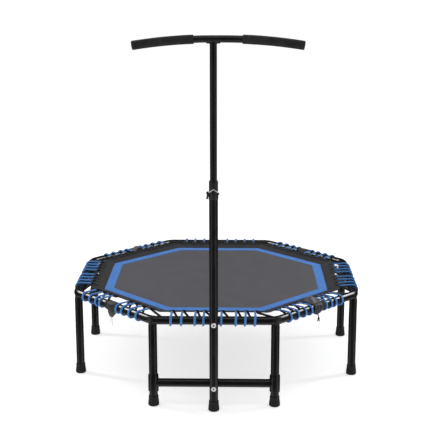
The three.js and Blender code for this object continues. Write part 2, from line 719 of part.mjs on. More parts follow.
// The inner tube, with a half-round saddle welded to its top that cradles the bar.
function innerPostGeometry() {
  const { radius, wall, bottom } = INNER_POST;
  const saddleBottom = BAR.height - SADDLE.radius;
  const post = closedRing([
    [radius - wall, bottom],
    [radius, bottom],
    [radius, saddleBottom + 2],
    [radius - wall, saddleBottom + 2],
  ], 20);
  const { halfLength } = SADDLE;
  const saddle = rod(SADDLE.radius, 'x', -halfLength, halfLength, 20).translate(0, 0, BAR.height);
  const barSpace = rod(boreFor(BAR.radius, 16), 'x', -40, 40, 16).translate(0, 0, BAR.height);
  const upperHalf = block(-40, 40, -40, 40, BAR.height - 1, BAR.height + 40);
  return carve(post, { join: [saddle], cut: [barSpace, upperHalf] });
}

add('inner_post', innerPostGeometry(), PAINT).position.y = POST_Y;
add('handle_bar', barGeometry(), PAINT).position.y = POST_Y;
add('grip_left', gripGeometry(-1), FOAM).position.y = POST_Y;
add('grip_right', gripGeometry(1), FOAM).position.y = POST_Y;

// Everything above is placed from the octagon's centre; the origin is under the outer box's middle.
const outerBox = new THREE.Box3().setFromObject(trampoline, true);
trampoline.position.y = -(outerBox.min.y + outerBox.max.y) / 2;

export default trampoline;
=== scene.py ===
import math

import bmesh
import bpy
import numpy as np
from mathutils import Matrix, Vector, noise


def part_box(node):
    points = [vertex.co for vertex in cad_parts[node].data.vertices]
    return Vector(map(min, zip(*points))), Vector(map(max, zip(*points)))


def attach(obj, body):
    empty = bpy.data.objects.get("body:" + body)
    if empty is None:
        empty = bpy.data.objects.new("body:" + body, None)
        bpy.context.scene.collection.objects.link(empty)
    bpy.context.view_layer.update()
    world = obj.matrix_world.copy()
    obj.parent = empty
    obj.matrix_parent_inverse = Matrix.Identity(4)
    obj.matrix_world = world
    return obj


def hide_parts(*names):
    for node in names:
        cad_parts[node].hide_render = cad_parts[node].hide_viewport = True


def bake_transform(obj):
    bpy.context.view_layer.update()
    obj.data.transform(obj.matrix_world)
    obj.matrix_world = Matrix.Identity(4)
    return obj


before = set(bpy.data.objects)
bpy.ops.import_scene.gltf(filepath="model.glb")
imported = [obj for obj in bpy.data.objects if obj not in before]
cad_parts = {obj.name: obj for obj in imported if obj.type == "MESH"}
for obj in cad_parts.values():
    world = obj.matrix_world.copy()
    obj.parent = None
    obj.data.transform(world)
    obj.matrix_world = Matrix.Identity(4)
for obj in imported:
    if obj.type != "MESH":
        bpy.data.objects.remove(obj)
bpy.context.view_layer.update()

# ---------- driving dimensions ----------
EIGHTH = math.pi / 8
CORNER_RADIUS = 0.600
APOTHEM = CORNER_RADIUS * math.cos(EIGHTH)
HALF_SIDE = CORNER_RADIUS * math.sin(EIGHTH)
RAIL_HEIGHT = 0.338
RAIL_RADIUS = 0.016
BEND_RADIUS = 0.060
RAIL_GAP = 0.0003
TUBE_WALL = 0.0015

LEG_RADIUS = 0.016
LEG_TOP = 0.319
LEG_BOTTOM = 0.0053
LEG_CIRCLE = CORNER_RADIUS - BEND_RADIUS * (1 / math.cos(EIGHTH) - 1)
LEG_ALONG = LEG_CIRCLE * math.sin(EIGHTH)
LEG_OUT = LEG_CIRCLE * math.cos(EIGHTH)
BOSS_RADIUS = 0.014
FOOT_WALL = 0.0026

MAT_TOP = 0.341
MAT_THICKNESS = 0.0016
MAT_SAG = 0.002
MAT_BORDER = {"inner": 0.104, "outer": 0.058, "rise": 0.012}  # insets from the rail's centreline
HEM = (0.0565, 0.070)
STRIPE = (0.104, 0.1405)
BINDING_THICKNESS = 0.0009

CORD = {"half_width": 0.0044, "half_thick": 0.0030, "return_radius": 0.0045}
WRAP_RADIUS = RAIL_RADIUS + CORD["half_thick"] + 0.0003
ANCHOR_INSET = 0.0525
TURN_WIDTH = 0.009
WRAP_OVER = math.radians(85)
WRAP_UNDER = math.radians(292)
UNDER_DRIFT = 0.003
STRAIGHT_LOOPS = (-0.163, -0.122, -0.081, -0.040, 0.028, 0.069, 0.110, 0.151)
DIAGONAL_LOOPS = (-0.163, -0.122, -0.081, -0.046, 0.034, 0.069, 0.110, 0.151)
UNEVEN_LOOPS = {
    270: (-0.158, -0.119, -0.069, -0.037, 0.028, 0.082, 0.117, 0.153),
    315: (-0.163, -0.122, -0.081, -0.046, 0.039, 0.070, 0.096, 0.134),
    225: (-0.167, -0.126, -0.087, -0.061, 0.040, 0.074, 0.117, 0.159),
}

POST_RADIUS = 0.016
INNER_RADIUS = 0.0125
SLEEVE_RADIUS = 0.0196
SLEEVE_HALF = 0.032
BAR = {"radius": 0.0125, "half": 0.2945, "straight": 0.020, "drop": 0.022}
GRIP = {"radius": 0.016, "start": 0.087}
SADDLE = {"radius": 0.0156, "half": 0.024}
BOLT = {"shank": 0.004, "socket": 0.0024, "chamfer": 0.0006}  # radii, and the socket's edge


def box_of(*nodes):
    """The corners of the box that holds some CAD nodes."""
    boxes = [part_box(n) for n in nodes]
    low = Vector([min(b[0][i] for b in boxes) for i in range(3)])
    high = Vector([max(b[1][i] for b in boxes) for i in range(3)])
    return low, high


def middle_of(*nodes):
    low, high = box_of(*nodes)
    return (low + high) / 2


CENTRE = middle_of("mat_front_left", "mat_back_right")
CENTRE.z = 0
POST = middle_of("outer_post")
POST_LOW, POST_HIGH = (corner.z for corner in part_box("outer_post"))
CROSSBAR = middle_of("front_crossbar")
BAR_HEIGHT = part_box("handle_bar")[1].z - BAR["radius"]
BAR_MIDDLE = middle_of("handle_bar").x
INNER_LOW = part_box("inner_post")[0].z
BOLT_HEIGHTS = {name: middle_of(f"post_bolt_{name}").z for name in ("upper", "lower")}

QUARTERS = {"front": -90, "right": 0, "back": 90, "left": 180}
NEIGHBOURS = {
    "front": ("left", "right"), "right": ("front", "back"),
    "back": ("right", "left"), "left": ("back", "front"),
}
BODY = {"front": "frame", "left": "frame", "right": "folding_half", "back": "folding_half"}
SIDE_ANGLES = (-90, -45, 0, 45, 90, 135, 180, 225)


def side_frame(degrees):
    """Turns one side's coordinates into the row frame."""
    return Matrix.Translation(CENTRE) @ Matrix.Rotation(math.radians(degrees), 4, "Z")


# ---------- building meshes ----------
class Shape:
    """Quad surfaces, collected with UVs in metres, that become one mesh."""

    def __init__(self):
        self.points, self.faces, self.uvs, self.slots = [], [], [], []

    def surface(self, rows, closed=True, slot=0, from_above=False):
        """A surface through rows of points. closed joins each row's last point to its first.

        The UVs follow the surface, or lie as it is seen from above.
        """
        rows = np.array(rows, float)
        count, width, _ = rows.shape
        first = len(self.points)
        self.points.extend(map(tuple, rows.reshape(-1, 3)))
        ahead = np.roll(rows, -1, axis=1) - rows
        around = np.linalg.norm(ahead, axis=2).max(axis=0)
        across = np.concatenate([[0], np.cumsum(around)])
        steps = np.linalg.norm(np.diff(rows, axis=0), axis=2).mean(axis=1)
        along = np.concatenate([[0], np.cumsum(steps)])
        for i in range(count - 1):
            for j in range(width if closed else width - 1):
                a, b = first + i * width + j, first + i * width + (j + 1) % width
                face = (a, b, b + width, a + width)
                self.faces.append(face)
                self.slots.append(slot)
                if from_above:
                    self.uvs += [self.points[k][:2] for k in face]
                else:
                    u0, u1, v0, v1 = across[j], across[j + 1], along[i], along[i + 1]
                    self.uvs += [(u0, v0), (u1, v0), (u1, v1), (u0, v1)]

    def build(self, name, materials, sharp=40):
        mesh = bpy.data.meshes.new(name)
        mesh.from_pydata(self.points, [], self.faces)
        layer = mesh.uv_layers.new(name="UVMap")
        layer.data.foreach_set("uv", np.array(self.uvs, np.float32).ravel())
        mesh.polygons.foreach_set("material_index", self.slots)
        bm = bmesh.new()
        bm.from_mesh(mesh)
        bmesh.ops.remove_doubles(bm, verts=bm.verts, dist=1e-6)
        bmesh.ops.dissolve_degenerate(bm, edges=bm.edges, dist=1e-6)
        bmesh.ops.recalc_face_normals(bm, faces=bm.faces)
        bm.to_mesh(mesh)
        bm.free()
        mesh.polygons.foreach_set("use_smooth", [True] * len(mesh.polygons))
        mesh.set_sharp_from_angle(angle=math.radians(sharp))
        for material in materials:
            mesh.materials.append(material)
        obj = bpy.data.objects.new(name, mesh)
        bpy.context.scene.collection.objects.link(obj)
        return obj


def circle(radius, sides):
    turns = np.arange(sides) * 2 * math.pi / sides
    return np.stack([radius * np.cos(turns), radius * np.sin(turns)], axis=1)


FLAT_END = ((0, 0),)


def round_end(radius, share=1.0, steps=4):
    """(distance beyond the end, scale) pairs that close a tube with a rounded edge."""
    turns = [math.pi / 2 * (i + 1) / steps for i in range(steps)]
    rim = [(radius * share * math.sin(t), 1 - share * (1 - math.cos(t))) for t in turns]
    return (*rim, (radius * share, 0))


def sweep(shape, path, section, up=(0, 0, 1), ends=FLAT_END, scales=None, slot=0):
    """Carries a closed section of (sideways, upwards) offsets along a path without twisting it."""
    path = np.array([tuple(p) for p in path], float)
    tangents = np.gradient(path, axis=0)
    tangents /= np.linalg.norm(tangents, axis=1)[:, None]
    scales = np.ones(len(path)) if scales is None else scales
    normal = np.array(up, float)
    rings = []
    for place, tangent, scale in zip(path, tangents, scales):
        normal = normal - normal @ tangent * tangent
        normal /= np.linalg.norm(normal)
        across = np.cross(tangent, normal)
        offsets = section[:, :1] * across + section[:, 1:] * normal
        rings.append((place, tangent, offsets * scale))

    def closing(ring, direction):
        place, tangent, offsets = ring
        return [place + direction * out * tangent + offsets * size for out, size in ends]

    rows = closing(rings[0], -1)[::-1]
    rows += [place + offsets for place, _, offsets in rings]
    rows += closing(rings[-1], 1)
    shape.surface(rows, slot=slot)


def turn(shape, profile, matrix, segments=40, slot=0):
    """Turns a profile of (radius, height) points about the matrix's z axis."""
    turns = [2 * math.pi * k / segments for k in range(segments)]
    rows = [
        [matrix @ Vector((r * math.cos(t), r * math.sin(t), z)) for t in turns]
        for r, z in profile
    ]
    shape.surface(rows, slot=slot)


def eased(profile, radius, steps=3):
    """The same outline with its inner corners rounded off."""
    points = [Vector(p) for p in profile]
    out = [points[0]]
    for before, here, after in zip(points, points[1:], points[2:]):
        reach = min(radius, (before - here).length * 0.45, (after - here).length * 0.45)
        start = here + (before - here).normalized() * reach
        end = here + (after - here).normalized() * reach
        for i in range(steps + 1):
            t = i / steps
            out.append(start * (1 - t) ** 2 + here * 2 * t * (1 - t) + end * t * t)
    return [tuple(p) for p in out + [points[-1]]]


def weld(shape, path, radius=0.0016):
    """A rippled weld bead along a path."""
    path = list(path)
    scales = [1 + 0.22 * math.sin(i * 2.4) for i in range(len(path))]
    sweep(shape, path, circle(radius, 8), ends=round_end(radius), scales=scales)


def bend_over_fold(piece):
    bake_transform(piece)


def finish_piece(shape, name, materials, body, replaces=(), sharp=40):
    """Makes the object, hides the CAD parts it stands for and lets it ride on its body; with no body its
    transform is only baked in.
    """
    obj = shape.build(name, materials, sharp)
    if body is None:
        bend_over_fold(obj)
    else:
        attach(obj, body)
    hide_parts(*replaces)
    return obj


# ---------- materials ----------
def math_node(nodes, links, operation, *values):
    node = nodes.new("ShaderNodeMath")
    node.operation = operation
    for socket, value in zip(node.inputs, values):
        if isinstance(value, (int, float)):
            socket.default_value = value
        else:
            links.new(value, socket)
    return node.outputs["Value"]


class Finish:
    """A Principled material and the few node patterns that the finishes here are made of."""

    def __init__(self, name, color, roughness, coordinates="Object", **settings):
        self.material = bpy.data.materials.new(name)
        self.material.use_nodes = True
        self.nodes = self.material.node_tree.nodes
        self.links = self.material.node_tree.links
        self.shader = self.nodes["Principled BSDF"]
        self.shader.inputs["Base Color"].default_value = (*color, 1)
        self.shader.inputs["Roughness"].default_value = roughness
        for socket, value in settings.items():
            self.shader.inputs[socket.replace("_", " ")].default_value = value
        self.place = self.nodes.new("ShaderNodeTexCoord").outputs[coordinates]

    def noise(self, scale, detail=4, roughness=0.6, stretch=(1, 1, 1)):
        """A noise with about scale lumps per metre."""
        mapping = self.nodes.new("ShaderNodeMapping")
        mapping.inputs["Scale"].default_value = stretch
        self.links.new(self.place, mapping.inputs["Vector"])
        texture = self.nodes.new("ShaderNodeTexNoise")
        texture.inputs["Scale"].default_value = scale
        texture.inputs["Detail"].default_value = detail
        texture.inputs["Roughness"].default_value = roughness
        self.links.new(mapping.outputs["Vector"], texture.inputs["Vector"])
        return texture.outputs["Fac"]

    def cells(self, scale):
        texture = self.nodes.new("ShaderNodeTexVoronoi")
        texture.inputs["Scale"].default_value = scale
        self.links.new(self.place, texture.inputs["Vector"])
        return texture.outputs["Distance"]

    def math(self, operation, *values):
        return math_node(self.nodes, self.links, operation, *values)

    def spread(self, value, low, high, from_low=0.3, from_high=0.7):
        node = self.nodes.new("ShaderNodeMapRange")
        for name, number in (
            ("From Min", from_low), ("From Max", from_high), ("To Min", low), ("To Max", high),
        ):
            node.inputs[name].default_value = number
        self.links.new(value, node.inputs["Value"])
        return node.outputs["Result"]

    def weave(self, pitch, diagonal=False):
        """0 to 1: raised threads crossing over and under each other, pitch apart, in the UV plane."""
        parts = self.nodes.new("ShaderNodeSeparateXYZ")
        self.links.new(self.place, parts.inputs["Vector"])
        u, v = parts.outputs["X"], parts.outputs["Y"]
        if diagonal:
            u, v = self.math("ADD", u, v), self.math("SUBTRACT", u, v)
        rate = math.pi / pitch
        waves = [self.math("SINE", self.math("MULTIPLY", w, rate)) for w in (u, v)]
        return self.math("MULTIPLY_ADD", self.math("MULTIPLY", *waves), 0.5, 0.5)

    def tint(self, value, dark, light):
        """The base colour runs from dark at 0 to light at 1."""
        ramp = self.nodes.new("ShaderNodeValToRGB")
        ramp.color_ramp.elements[0].color = (*dark, 1)
        ramp.color_ramp.elements[1].color = (*light, 1)
        self.links.new(value, ramp.inputs["Fac"])
        self.links.new(ramp.outputs["Color"], self.shader.inputs["Base Color"])

    def rough(self, value):
        self.links.new(value, self.shader.inputs["Roughness"])

    def bump(self, value, distance, strength):
        node = self.nodes.new("ShaderNodeBump")
        node.inputs["Distance"].default_value = distance
        node.inputs["Strength"].default_value = strength
        self.links.new(value, node.inputs["Height"])
        self.links.new(node.outputs["Normal"], self.shader.inputs["Normal"])


def paint_finish():
    """Black powder coat: faint orange peel, thin scuffs and a little dust."""
    look = Finish("black_paint", (0.010, 0.010, 0.011), 0.24, Specular_IOR_Level=0.36)
    scuffs = look.noise(45, detail=6, stretch=(1, 1, 0.35))
    look.tint(look.spread(scuffs, 0, 1), (0.0045, 0.0045, 0.005), (0.011, 0.011, 0.0115))
    look.rough(look.spread(scuffs, 0.18, 0.28))
    look.bump(look.noise(850, detail=2), 0.00012, 0.35)
    return look.material


def rubber_finish():
    look = Finish("foot_rubber", (0.014, 0.014, 0.014), 0.62, Specular_IOR_Level=0.35)
    dust = look.noise(60, detail=5)
    look.tint(look.spread(dust, 0, 1), (0.009, 0.009, 0.009), (0.021, 0.020, 0.019))
    look.rough(look.spread(dust, 0.55, 0.72))
    look.bump(look.noise(1500, detail=3), 0.0002, 0.5)
    return look.material


def foam_finish():
    """Closed-cell foam with fine pores."""
    look = Finish("grip_foam", (0.018, 0.018, 0.018), 0.85, Specular_IOR_Level=0.25)
    look.shader.inputs["Sheen Weight"].default_value = 0.05
    pores = look.cells(900)
    soft = look.noise(35, detail=3)
    look.tint(look.spread(soft, 0, 1), (0.012, 0.012, 0.012), (0.024, 0.024, 0.0245))
    look.bump(look.math("ADD", pores, look.noise(320, detail=4)), 0.0006, 0.7)
    return look.material


def plastic_finish():
    look = Finish("black_plastic", (0.013, 0.013, 0.014), 0.42, Specular_IOR_Level=0.4)
    grain = look.noise(900, detail=3)
    look.tint(look.spread(look.noise(40), 0, 1), (0.009, 0.009, 0.010), (0.019, 0.019, 0.020))
    look.rough(look.spread(grain, 0.36, 0.5))
    look.bump(grain, 0.0001, 0.5)
    return look.material


def metal_finish(name, color, roughness, metallic=1.0):
    """Bright plated steel with fine handling marks."""
    look = Finish(name, color, roughness, Metallic=metallic)
    marks = look.noise(260, detail=6, stretch=(1, 1, 4))
    dull = tuple(c * 0.82 for c in color)
    look.tint(look.spread(marks, 0, 1), dull, color)
    look.rough(look.spread(marks, roughness * 0.8, roughness * 1.35))
    look.bump(look.noise(1200, detail=2), 0.00005, 0.3)
    return look.material


def cloth_finish(name, dark, light, pitch, roughness=0.85, sheen=0.15, diagonal=False):
    """Woven cloth: threads pitch apart, worn a little lighter in places."""
    look = Finish(name, light, roughness, "UV", Specular_IOR_Level=0.2)
    look.shader.inputs["Sheen Weight"].default_value = sheen
    look.shader.inputs["Sheen Roughness"].default_value = 0.4
    threads = look.weave(pitch, diagonal)
    patches = look.spread(look.noise(14, detail=5), 0, 1)
    mixed = look.math("MULTIPLY_ADD", threads, 0.45, look.math("MULTIPLY", patches, 0.55))
    look.tint(mixed, dark, light)
    look.rough(look.spread(patches, roughness - 0.08, roughness + 0.05, 0, 1))
    look.bump(threads, pitch * 0.25, 0.6)
    return look.material


PAINT = paint_finish()
RUBBER = rubber_finish()
FOAM = foam_finish()
PLASTIC = plastic_finish()
CHROME = metal_finish("chrome", (0.92, 0.92, 0.93), 0.30, 0.4)
ZINC = metal_finish("zinc_steel", (0.62, 0.63, 0.65), 0.28)
# Dark steel: the lever pin's own colour, and in the bolts' sockets painted shade inside the recess.
DARK_STEEL_AND_SOCKET_SHADE = metal_finish("dark_steel_and_socket_shade", (0.10, 0.10, 0.105), 0.4)
BORDER_CLOTH = cloth_finish(
    "border_cloth", (0.018, 0.0175, 0.020), (0.040, 0.039, 0.044), 0.0012, 0.6, 0.08
)
MAT_CLOTH = cloth_finish("mat_cloth", (0.082, 0.080, 0.090), (0.116, 0.113, 0.127), 0.0012, 0.7, 0.04)
WEBBING = cloth_finish("edge_webbing", (0.008, 0.008, 0.009), (0.020, 0.020, 0.021), 0.0016)
STRIPE_CLOTH = cloth_finish("stripe_cloth", (0.038, 0.175, 0.560), (0.070, 0.265, 0.740), 0.0018)
BLUE_THREAD = cloth_finish("blue_thread", (0.06, 0.22, 0.60), (0.14, 0.36, 0.80), 0.0006)
BLACK_THREAD = cloth_finish("black_thread", (0.012, 0.012, 0.012), (0.03, 0.03, 0.03), 0.0006)
CORD_PITCH = 0.003
BLUE_CORD = cloth_finish(
    "elastic_cord", (0.030, 0.145, 0.430), (0.095, 0.310, 0.720), CORD_PITCH, 0.7, 0.25, diagonal=True
)
BLACK_CORD = cloth_finish(
    "elastic_cord_black", (0.006, 0.006, 0.007), (0.018, 0.018, 0.020), CORD_PITCH, 0.7, 0.1,
    diagonal=True,
)
COVER_CLOTH = cloth_finish("cover_cloth", (0.010, 0.010, 0.012), (0.032, 0.031, 0.036), 0.0012, 0.55, 0.3)
# A paler copy of the cover cloth for the flap's upward faces: painted sheen, the light that their top
# reflects.
FLAP_TOP_PAINTED_SHEEN = cloth_finish("flap_top_painted_sheen", (0.055, 0.050, 0.062), (0.115, 0.105, 0.130), 0.0012, 0.5, 0.4)
PALE_THREAD = cloth_finish("pale_thread", (0.25, 0.25, 0.25), (0.45, 0.45, 0.44), 0.0005)


# ---------- octagonal rail ----------
def rail_path():
    """A quarter's centreline in its side frame, from one joint round two corners to the other."""
    centre = Vector((APOTHEM - BEND_RADIUS, HALF_SIDE - BEND_RADIUS * math.tan(EIGHTH), RAIL_HEIGHT))
    ahead = []
    for i in range(13):
        angle = 2 * EIGHTH * i / 12
        ahead.append(centre + BEND_RADIUS * Vector((math.cos(angle), math.sin(angle), 0)))
    joint = Vector((APOTHEM * math.sqrt(0.5), APOTHEM * math.sqrt(0.5), RAIL_HEIGHT))
    direction = (joint - ahead[-1]).normalized()
    length = (joint - ahead[-1]).length - RAIL_GAP
    bend_end = ahead[-1]
    ahead += [bend_end + direction * length * k / 6 for k in range(1, 7)]
    behind = [Vector((p.x, -p.y, p.z)) for p in reversed(ahead)]
    return behind + ahead


def add_rail(quarter):
    to_row = side_frame(QUARTERS[quarter])
    shape = Shape()
    bore = 1 - TUBE_WALL / RAIL_RADIUS
    open_end = ((0, 0.985), (-0.0004, bore), (-0.012, bore), (-0.012, 0))
    path = [to_row @ p for p in rail_path()]
    sweep(shape, path, circle(RAIL_RADIUS, 32), ends=open_end)
    for side in (-1, 1):
        to_leg = to_row @ Matrix.Translation((LEG_OUT, side * LEG_ALONG, 0))
        bottom, top = LEG_TOP + 0.0004, RAIL_HEIGHT - 0.004
        boss = [(0, bottom), (BOSS_RADIUS, bottom), (BOSS_RADIUS, top), (0, top)]
        turn(shape, eased(boss, 0.0008), to_leg)
        across = to_leg @ Matrix.Rotation(side * EIGHTH, 4, "Z")
        weld(shape, [across @ p for p in saddle_curve(BOSS_RADIUS, RAIL_RADIUS)])
    name = f"rail_{quarter}"
    finish_piece(shape, f"{name}_tube", [PAINT], BODY[quarter], [name])


def saddle_curve(radius, tube_radius, height=RAIL_HEIGHT, count=48):
    """Where an upright tube meets the underside of a level tube that runs along y."""
    points = []
    for k in range(count + 1):
        angle = 2 * math.pi * k / count
        x, y = radius * math.cos(angle), radius * math.sin(angle)
        points.append(Vector((x, y, height - math.sqrt(tube_radius ** 2 - x * x))))
    return points


# ---------- legs and feet ----------
def add_leg(node, body):
    middle = middle_of(node)
    shape = Shape()
    profile = [(0, LEG_BOTTOM), (LEG_RADIUS, LEG_BOTTOM), (LEG_RADIUS, LEG_TOP), (0, LEG_TOP)]
    turn(shape, eased(profile, 0.0012), Matrix.Translation((middle.x, middle.y, 0)))
    finish_piece(shape, f"{node}_tube", [PAINT], body, [node])


def add_foot(node, body, shaft_radius):
    """A tapered rubber foot with a rounded sole, two grooves and a lip round the tube."""
    low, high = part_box(node)
    middle = (low + high) / 2
    sole = (high.x - low.x) / 2
    height = high.z
    lip = shaft_radius + FOOT_WALL
    profile = [(0, 0.0008), (sole * 0.55, 0.0008), (sole * 0.6, 0), (sole - 0.0035, 0), (sole, 0.0035)]
    wall = [(sole, 0.0075)]
    for level in (0.0105, 0.0145):
        radius = sole - 0.0006
        wall += [(radius, level), (radius - 0.0007, level + 0.0006), (radius, level + 0.0012)]
    wall += [(sole - 0.0012, 0.018), (lip - 0.0004, height - 0.006), (lip, height - 0.0045)]
    rim = [(lip, height), (shaft_radius, height), (shaft_radius, height - 0.004), (0, height - 0.004)]
    shape = Shape()
    turn(shape, eased(profile + wall + rim, 0.0016), Matrix.Translation((middle.x, middle.y, 0)))
    finish_piece(shape, f"{node}_rubber", [RUBBER], body, [node])


# ---------- cross bar ----------
def add_crossbar():
    shape = Shape()
    reach = LEG_ALONG - 0.010
    path = [CROSSBAR + Vector((x, 0, 0)) for x in np.linspace(-reach, reach, 9)]
    sweep(shape, path, circle(RAIL_RADIUS, 32))
    inner = LEG_RADIUS + 0.0004
    sleeve = [
        (inner, -SLEEVE_HALF), (SLEEVE_RADIUS, -SLEEVE_HALF), (SLEEVE_RADIUS, SLEEVE_HALF),
        (inner, SLEEVE_HALF), (inner, -SLEEVE_HALF),
    ]
    for side in (-1, 1):
        place = CROSSBAR + Vector((side * LEG_ALONG, 0, 0))
        turn(shape, eased(sleeve, 0.0012), Matrix.Translation(place))
        bead = []
        for k in range(49):
            angle = 2 * math.pi * k / 48
            y, z = RAIL_RADIUS * math.cos(angle), RAIL_RADIUS * math.sin(angle)
            bead.append(place + Vector((-side * math.sqrt(SLEEVE_RADIUS ** 2 - y * y), y, z)))
        weld(shape, bead, 0.0014)
    finish_piece(shape, "front_crossbar_tube", [PAINT], "frame", ["front_crossbar"])


# ---------- handle post ----------
def add_outer_post():
    shape = Shape()
    profile = [(0, POST_LOW), (POST_RADIUS, POST_LOW), (POST_RADIUS, POST_HIGH), (0, POST_HIGH)]
    turn(shape, eased(profile, 0.001), Matrix.Translation((POST.x, POST.y, 0)), 56)
    finish_piece(shape, "outer_post_tube", [PAINT], "frame", ["outer_post"])


def add_inner_post():
    """The inner tube and the saddle welded to its top."""
    shape = Shape()
    place = Matrix.Translation((POST.x, POST.y, 0))
    top = BAR_HEIGHT - SADDLE["radius"] + 0.002
    profile = [(0, INNER_LOW), (INNER_RADIUS, INNER_LOW), (INNER_RADIUS, top), (0, top)]
    turn(shape, eased(profile, 0.001), place, 56)
    outer, inner = SADDLE["radius"], BAR["radius"] + 0.0002
    turns = np.linspace(math.pi, 2 * math.pi, 25)
    rim = [(outer * math.cos(t), outer * math.sin(t)) for t in turns]
    bed = [(inner * math.cos(t), inner * math.sin(t)) for t in reversed(turns)]
    section = np.array(rim + bed)
    path = [Vector((POST.x + x, POST.y, BAR_HEIGHT)) for x in np.linspace(-1, 1, 13) * SADDLE["half"]]
    sweep(shape, path, section, ends=((0, 0.999),))
    for end in (path[0], path[-1]):
        close_channel(shape, end, rim, bed)
    round_post = Matrix.Rotation(math.pi / 2, 4, "Z")
    bead = [place @ round_post @ p for p in saddle_curve(INNER_RADIUS, outer, BAR_HEIGHT)]
    weld(shape, bead, 0.0019)
    for side in (-1, 1):
        seam = [p + Vector((0, side * (outer + inner) / 2, 0.0002)) for p in path]
        weld(shape, seam)
    finish_piece(shape, "inner_post_tube", [PAINT], "handle", ["inner_post"])


def close_channel(shape, place, rim, bed):
    """The end face of a half-round channel."""
    rows = [[place + Vector((0, -y, z)) for y, z in edge] for edge in (rim, list(reversed(bed)))]
    shape.surface(rows, closed=False)


def bar_path(start, end, count):
    """Points on the handle bar's centreline between two distances from its middle."""
    points = []
    for x in np.linspace(start, end, count):
        beyond = max(abs(x) - BAR["straight"], 0) / (BAR["half"] - BAR["straight"])
        points.append(Vector((BAR_MIDDLE + x, POST.y, BAR_HEIGHT - BAR["drop"] * beyond ** 2)))
    return points


def add_handle_bar():
    shape = Shape()
    path = bar_path(-BAR["half"], BAR["half"], 61)
    sweep(shape, path, circle(BAR["radius"], 28))
    finish_piece(shape, "handle_bar_tube", [PAINT], "handle", ["handle_bar"])


def add_grip(name, side):
    """A foam sleeve, a little uneven, with soft rounded ends."""
    shape = Shape()
    path = bar_path(side * GRIP["start"], side * BAR["half"], 49)
    scales = [1 + 0.012 * noise.noise(p * 45) for p in path]
    ends = round_end(GRIP["radius"], 0.2, 5)
    sweep(shape, path, circle(GRIP["radius"], 40), ends=ends, scales=scales)
    grip = finish_piece(shape, f"{name}_foam", [FOAM], "handle", [name])


# ---------- bolts ----------
def add_bolt(level):
    """A chromed dome-head bolt with a hexagon socket, through the post and the tube behind it."""
    node = f"post_bolt_{level}"
    low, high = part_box(node)
    head = (high.x - low.x) / 2
    face = POST.y - POST_RADIUS - RAIL_GAP
    place = Matrix.Translation((0, face, BOLT_HEIGHTS[level])) @ Matrix.Rotation(-math.pi / 2, 4, "X")
    shank = high.y - face
    dome_height = face - low.y
    dome = [(head * math.cos(t), -dome_height * math.sin(t)) for t in np.linspace(0, 1.2, 9)]
    socket, floor = BOLT["socket"], -dome_height * 0.3
    rim = (socket + BOLT["chamfer"], -dome_height * 0.97)
    stem = [(0, shank), (BOLT["shank"], shank), (BOLT["shank"], 0), (head, 0)]
    shape = Shape()
    turn(shape, [*stem, *dome[1:], rim], place, 40)
    hexagon = [rim, (socket, -dome_height * 0.93), (socket, floor), (0, floor)]
    # The socket's inside takes the dark steel: painted shade in the recess.
    turn(shape, hexagon, place, 6, slot=1)
    finish_piece(shape, f"{node}_steel", [CHROME, DARK_STEEL_AND_SOCKET_SHADE], "frame", [node])


# ---------- jumping mat ----------
def mat_height(x, y):
    """The cloth's top at a point given from the octagon's centre, with x across its nearest side.

    It sags a little in the middle, and its border slopes up to the cords with faint creases.
    """
    flat = APOTHEM - MAT_BORDER["inner"]
    share = min(math.hypot(x, y) / flat, 1)
    up = max(x - flat, 0) / (MAT_BORDER["inner"] - MAT_BORDER["outer"])
    crease = 0.0006 * noise.noise(Vector((x * 12, y * 70, 4.4))) * min(up, 1)
    return MAT_TOP - MAT_SAG * (1 - share * share) + MAT_BORDER["rise"] * up + crease


def add_mat():
    """One cloth, in octagonal rings from its middle to its edge."""
    flat = np.linspace(APOTHEM, MAT_BORDER["inner"], 12)
    border = np.linspace(MAT_BORDER["inner"], HEM[0] + 0.003, 6)[1:]
    insets = [float(inset) for inset in (*flat, *border)]
    top = [(inset, 0) for inset in insets]
    bottom = [(inset, -MAT_THICKNESS) for inset in reversed(insets)]
    shape = Shape()
    ring(shape, top + bottom, from_above=True)
    mat = finish_piece(
        shape, "jumping_mat", [MAT_CLOTH, BORDER_CLOTH], None,
        ["mat_front_left", "mat_back_right"],
    )
    for face in mat.data.polygons:
        out = face.center - CENTRE
        turn_from_side = (math.atan2(out.y, out.x) + EIGHTH) % (2 * EIGHTH) - EIGHTH
        if math.hypot(out.x, out.y) * math.cos(turn_from_side) > APOTHEM - MAT_BORDER["inner"]:
            face.material_index = 1
    return mat


def ring(shape, section, shift=None, steps=56, from_above=False):
    """Carries a closed section of (inset, height above the mat) points round the octagon."""
    rows = []
    for angle in SIDE_ANGLES:
        to_row = side_frame(angle)
        for t in np.linspace(-1, 1, steps, endpoint=False):
            row = []
            for inset, height in section:
                x = APOTHEM - inset
                y = t * x * math.tan(EIGHTH)
                x += shift(angle, y) if shift else 0
                row.append(to_row @ Vector((x, y, mat_height(x, y) + height)))
            rows.append(row)
    rows.append(rows[0])
    shape.surface(rows, from_above=from_above)


def loops_on(angle):
    """Where the cord crosses over the rail along one side."""
    return UNEVEN_LOOPS.get(angle % 360, STRAIGHT_LOOPS if angle % 90 == 0 else DIAGONAL_LOOPS)


def pull(angle, y):
    """How far the cord's loops draw the mat's edge outward at a place along a side."""
    most, spread = 0.0022, 0.010
    loops = (s + TURN_WIDTH / 2 for s in loops_on(angle))
    return most * sum(math.exp(-(((y - s) / spread) ** 2)) for s in loops)


def sewn_edge(angle, y):
    """A hand-guided seam wanders by a millimetre or so."""
    return 0.0014 * noise.noise(Vector((y * 14, angle * 0.7, 3.1)))


